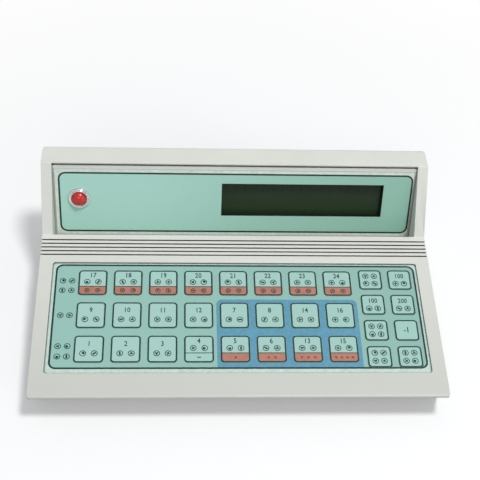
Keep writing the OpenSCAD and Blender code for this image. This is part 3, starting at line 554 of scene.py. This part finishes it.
def print_counting_keys(materials):
    """Outline, number, marks and coloured foot of each counting key."""
    w, l = COUNT_KEY
    inner = w / 2 - LINE            # half width inside the outline
    foot_top = -2.9                 # heights on a key are from its centre
    columns = len(KEY_COLUMNS)
    for i in range(len(KEY_ROWS) * columns):
        row, column = divmod(i, columns)
        body = f"count_key_{i + 1:02d}"
        number = str(KEY_NUMBERS[row][column])
        dash = row == FRONT_ROW and column == 3
        dots = column - 3 if row == FRONT_ROW and column > 3 else 0
        coloured = row == REAR_ROW or dots > 0
        divided = coloured or dash
        number_y, marks_y = (5.2, 0.6) if divided else (3.4, -2.9)
        marks = cell_marks(0, marks_y, i)
        if dash:
            marks.append(box_outline(-1.1, -5.8, 1.1, -5.2))
        elif row == REAR_ROW:
            marks += cell_marks(0, -5.5, i + 2, 6.4, 1.6)
        meshes = [shape_mesh(ring_outlines(-w / 2, -l / 2, w / 2, l / 2, KEY_CORNER, LINE)),
                  shape_mesh(marks),
                  text_mesh(number, 0, number_y, 4.6)]
        if divided:
            rule = box_outline(-inner, foot_top, inner, foot_top + RULE)
            meshes.append(shape_mesh([rule]))
        place = key_frame(KEY_COLUMNS[column], KEY_ROWS[row])
        put(f"{body}_print", meshes, place, body, materials["ink"])
        if coloured:
            foot = foot_outline(-inner, LINE - l / 2, inner, foot_top, KEY_CORNER - LINE)
            put(f"{body}_foot", [shape_mesh([foot])],
                place @ Matrix.Translation(mm(0, 0, -INK / 2)), body,
                materials["salmon"])
        if dots:
            pitch = 3.3 if dots == 4 else 3.9
            spots = [disc((k - (dots - 1) / 2) * pitch, -5.6, 0.75, 12) for k in range(dots)]
            put(f"{body}_dots", [shape_mesh(spots)], place, body, materials["dots"])


def print_function_keys(materials):
    """Outline, number and marks of each function key, front row first."""
    w, l = FUNCTION_KEY
    upper, lower = 2.6, -2.7        # heights of the two lines of print
    pitch = 5.2                     # between the two marks on a line
    for i, number in enumerate(FUNCTION_NUMBERS):
        row, column = divmod(i, len(FUNCTION_COLUMNS))
        body = f"function_key_{i + 1}"
        meshes = [shape_mesh(ring_outlines(-w / 2, -l / 2, w / 2, l / 2, KEY_CORNER, LINE))]
        if number == SUBTRACT:
            meshes.append(text_mesh(number, 0, 0, 5.4))
        elif number:
            meshes += [text_mesh(number, 0, upper, 4.4),
                       shape_mesh(cell_marks(0, lower, i, pitch))]
        else:
            meshes += [shape_mesh(cell_marks(0, upper, i, pitch)),
                       shape_mesh(cell_marks(0, lower, i + 2, pitch))]
        put(f"{body}_print", meshes, key_frame(FUNCTION_COLUMNS[column], FUNCTION_ROWS[row]),
            body, materials["ink"])


def print_frame(name, film, line, corner, place, materials):
    """A film's frame line and the pale margin outside it."""
    rim = [film[0] + FILM_RIM, film[1] + FILM_RIM, film[2] - FILM_RIM, film[3] - FILM_RIM]
    put(f"{name}_margin", [shape_mesh([rounded(*rim, FILM_CORNER), rounded(*line, corner)])],
        place, ROOT, materials[f"{name}_margin"])
    put(f"{name}_line", [shape_mesh(ring_outlines(*line, corner, FRAME))],
        place, ROOT, materials["ink"])


def print_films(materials):
    """Frames of both films, the blue field, the marks of the rows and the window's liner."""
    deck = DECK @ Matrix.Translation(mm(0, 0, FILM_TOP + INK / 2))
    panel = PANEL @ Matrix.Translation(mm(0, 0, OVERLAY_TOP + INK / 2))
    print_frame("keypad", KEYPAD_FILM, KEYPAD_LINE, KEYPAD_CORNER, deck, materials)
    print_frame("display", DISPLAY_FILM, DISPLAY_LINE, DISPLAY_CORNER, panel, materials)

    # The blue field lies round the right-hand four keys of each of the two front rows
    middle = (BLUE_FIELD[1] + BLUE_FIELD[3]) / 2
    field = [(x, s if s > middle else KEYPAD_LINE[1] + FRAME)
             for x, s in rounded(*BLUE_FIELD, BLUE_CORNER)]
    w, l = BLUE_HOLE
    holes = [rounded(x - w, s - l, x + w, s + l, KEY_CORNER + 0.3)
             for x in KEY_COLUMNS[4:] for s in KEY_ROWS[:2]]
    put("blue_field", [shape_mesh([field] + holes)], deck, ROOT,
        materials["blue"])

    marks = []
    for kind, s in enumerate(ROW_MARKS):
        marks += cell_marks(ROW_MARKS_X, s, kind, 5.4)
    put("row_marks", [shape_mesh(marks)], deck, ROOT, materials["ink"])

    # A dark liner over the window's walls, as painted shade on them
    x0, y0, x1, y1 = WINDOW
    liner = [box_outline(*WINDOW),
             box_outline(x0 + LINER, y0 + LINER, x1 - LINER, y1 - LINER)]
    put("window_liner", [shape_mesh(liner, WINDOW_DEPTH)],
        PANEL @ Matrix.Translation(mm(0, 0, -WINDOW_DEPTH / 2)), ROOT,
        materials["liner"])


def print_rocker(materials):
    """The bar and the ring on the two halves of the power rocker's face."""
    bar = [box_outline(-0.35, -1.4, 0.35, 1.4)]
    ring = [disc(0, 0, 1.5, 24), disc(0, 0, 0.95, 24)]
    fold = Matrix.Translation(mm(*ROCKER)) @ Matrix.Rotation(ROCKER_TILT, 4, "X")
    for name, outlines, side in (("bar", bar, 1), ("ring", ring, -1)):
        half = Matrix.Translation(mm(0, 0, ROCKER_FACE)) @ Matrix.Rotation(
            side * ROCKER_TILT, 4, "X")
        mark = Matrix.Translation(mm(0, side * ROCKER_MARK, INK / 2))
        put(f"rocker_{name}", [shape_mesh(outlines)], REAR_FACE @ fold @ half @ mark,
            "switch_rocker", materials["white"])


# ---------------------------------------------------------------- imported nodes

NODE_MATERIALS = {
    "top_shell": "case", "display_panel": "case", "rear_panel": "base", "bottom_shell": "base",
    "display_overlay": "overlay", "keypad_overlay": "keypad", "lcd_board": "board",
    "lcd_frame": "black", "lcd_glass": "lcd", "reset_button": "red", "reset_bezel": "ring",
    "reset_switch": "black", "keypad_circuit": "circuit", "key_domes": "steel",
    "keypad_tail": "circuit", "main_board": "board", "board_chips": "black",
    "sounder": "black", "transformer_core": "iron", "transformer_winding": "winding",
    "mains_inlet": "black", "inlet_pins": "steel", "switch_frame": "black",
    "switch_rocker": "rocker", "fuse_holder": "black", "display_ribbon": "ribbon",
    "rubber_feet": "rubber", "screws": "steel",
}

# Rounding of each node's sharp edges, in millimetres
KEY_ROUNDING = 0.12
ROUNDING = {
    "top_shell": 0.15, "bottom_shell": 0.4, "rear_panel": 0.3, "display_panel": 0.2,
    "reset_bezel": 0.25, "reset_button": 0.25, "mains_inlet": 0.25, "switch_frame": 0.2,
    "switch_rocker": 0.3, "fuse_holder": 0.25, "rubber_feet": 0.6, "screws": 0.2,
    "inlet_pins": 0.25, "board_chips": 0.2, "sounder": 0.3,
}


def round_edges(node, width, clamp):
    """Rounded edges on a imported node, by modifiers alone."""
    weld = node.modifiers.new("weld", "WELD")
    weld.merge_threshold = 1e-6
    bevel = node.modifiers.new("bevel", "BEVEL")
    bevel.width = mm(width)
    bevel.segments = 3
    bevel.limit_method = "ANGLE"
    bevel.angle_limit = math.radians(32)
    bevel.use_clamp_overlap = clamp
    bevel.harden_normals = True


def dress_nodes(nodes, materials):
    """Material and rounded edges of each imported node; the keys share one of each."""
    for name, node in nodes.items():
        kind = NODE_MATERIALS.get(name, "key")
        for slot in node.material_slots:
            slot.material = materials[kind]
        width = ROUNDING.get(name, KEY_ROUNDING if kind == "key" else 0)
        if width:
            round_edges(node, width, name == "bottom_shell")


# ---------------------------------------------------------------- studio and camera

FLOOR_SIZE = 6                          # metres, as all lengths from here on
NEAR, FAR = 0.15, 0.42                  # from the middle: where the shadow fades and ends
NEAR_WHITE = 0.2                        # share of plain white in the floor before NEAR
BOUNCE_GREY = 0.45                      # how bright the floor is to bounced light
AMBIENT = 0.38
AMBIENT_TINT = (0.93, 0.96, 1.0)

# Soft lamps: name, place, target, size and power in watts
LAMPS = [
    ("key", (0.5, -0.42, 2.1), (0, 0, 0.03), 0.4, 27.0),
    ("fill", (-0.2, -1.6, 1.3), (0, 0, 0.03), 0.8, 4.5),
    ("side", (1.5, -1.2, 0.7), (0, 0, 0.05), 0.3, 2.0),
]

CAMERA_PLACE = (-0.03775, -0.406064, 0.499361)
CAMERA_AXES = ((0.997944, -0.006479, -0.063761),
               (-0.039047, 0.727437, -0.685063),
               (0.05082, 0.686144, 0.725688))
LENS = 76.152


def math_node(tree, operation, first, second):
    """Output of a math node that takes two sockets."""
    made = tree.nodes.new("ShaderNodeMath")
    made.operation = operation
    tree.links.new(first, made.inputs[0])
    tree.links.new(second, made.inputs[1])
    return made.outputs[0]


def mix_shaders(tree, share, first, second, output):
    """Sends a mix of two shaders, whose second has that share, to a new output node."""
    mix = tree.nodes.new("ShaderNodeMixShader")
    tree.links.new(share, mix.inputs["Fac"])
    tree.links.new(first.outputs[0], mix.inputs[1])
    tree.links.new(second.outputs[0], mix.inputs[2])
    tree.links.new(mix.outputs[0], tree.nodes.new(output).inputs["Surface"])


def floor_paper():
    """White paper that shows the object's shadow close by and plain white further out."""
    material = bpy.data.materials.new("paper")
    material.use_nodes = True
    tree = material.node_tree
    tree.nodes.clear()
    rays = tree.nodes.new("ShaderNodeLightPath").outputs
    seen = math_node(tree, "MAXIMUM", rays["Is Camera Ray"], rays["Is Glossy Ray"])
    seen = math_node(tree, "MAXIMUM", seen, rays["Is Transmission Ray"])
    reach = tree.nodes.new("ShaderNodeVectorMath")
    reach.operation = "LENGTH"
    tree.links.new(tree.nodes.new("ShaderNodeTexCoord").outputs["Object"], reach.inputs[0])
    fade = tree.nodes.new("ShaderNodeMapRange")
    for key, value in (("From Min", NEAR), ("From Max", FAR),
                       ("To Min", NEAR_WHITE), ("To Max", 1)):
        fade.inputs[key].default_value = value
    tree.links.new(reach.outputs["Value"], fade.inputs["Value"])
    shade = tree.nodes.new("ShaderNodeMix")
    shade.data_type = "RGBA"
    grey, white = [i for i in shade.inputs if i.type == "RGBA"]
    grey.default_value = (BOUNCE_GREY, BOUNCE_GREY, BOUNCE_GREY, 1)
    white.default_value = (1, 1, 1, 1)
    tree.links.new(seen, shade.inputs["Factor"])
    paper = tree.nodes.new("ShaderNodeBsdfDiffuse")
    tree.links.new(next(o for o in shade.outputs if o.type == "RGBA"), paper.inputs["Color"])
    glow = tree.nodes.new("ShaderNodeEmission")
    glow.inputs["Color"].default_value = (1, 1, 1, 1)
    share = math_node(tree, "MULTIPLY", seen, fade.outputs["Result"])
    mix_shaders(tree, share, paper, glow, "ShaderNodeOutputMaterial")
    return material


def make_floor():
    """Pale floor that keeps the object's shadow and reads as white paper round it."""
    mesh = bpy.data.meshes.new("floor")
    work = bmesh.new()
    bmesh.ops.create_grid(work, x_segments=2, y_segments=2, size=FLOOR_SIZE)
    work.to_mesh(mesh)
    work.free()
    mesh.materials.append(floor_paper())
    floor = bpy.data.objects.new("floor", mesh)
    bpy.context.scene.collection.objects.link(floor)


def make_world():
    """Even pale light from all round; seen directly it is white."""
    world = bpy.data.worlds.new("surround")
    bpy.context.scene.world = world
    world.use_nodes = True
    tree = world.node_tree
    tree.nodes.clear()
    rays = tree.nodes.new("ShaderNodeLightPath").outputs
    ambient = tree.nodes.new("ShaderNodeBackground")
    ambient.inputs["Color"].default_value = (*AMBIENT_TINT, 1)
    ambient.inputs["Strength"].default_value = AMBIENT
    white = tree.nodes.new("ShaderNodeBackground")
    white.inputs["Color"].default_value = (1, 1, 1, 1)
    mix_shaders(tree, rays["Is Camera Ray"], ambient, white, "ShaderNodeOutputWorld")


def make_lamps():
    """Disc lamps, each aimed at its target."""
    for name, place, target, size, power in LAMPS:
        light = bpy.data.lights.new(name, "AREA")
        light.shape = "DISK"
        light.size = size
        light.energy = power
        lamp = bpy.data.objects.new(name, light)
        lamp.location = place
        aim = Vector(target) - Vector(place)
        lamp.rotation_euler = aim.to_track_quat("-Z", "Y").to_euler()
        bpy.context.scene.collection.objects.link(lamp)


def make_camera():
    """The photograph's viewpoint, as fitted to the case, the keypad and the display."""
    camera = bpy.data.objects.new("camera", bpy.data.cameras.new("camera"))
    camera.data.lens = LENS
    camera.data.clip_start = 0.01
    camera.matrix_world = Matrix.Translation(CAMERA_PLACE) @ Matrix(CAMERA_AXES).to_4x4()
    bpy.context.scene.collection.objects.link(camera)
    bpy.context.scene.camera = camera


def main():
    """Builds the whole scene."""
    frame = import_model()
    bpy.context.scene.view_settings.view_transform = "Standard"
    make_camera()
    make_world()
    make_lamps()
    make_floor()
    materials = make_materials()
    dress_nodes(frame["nodes"], materials)
    print_films(materials)
    print_counting_keys(materials)
    print_function_keys(materials)
    print_rocker(materials)


main()
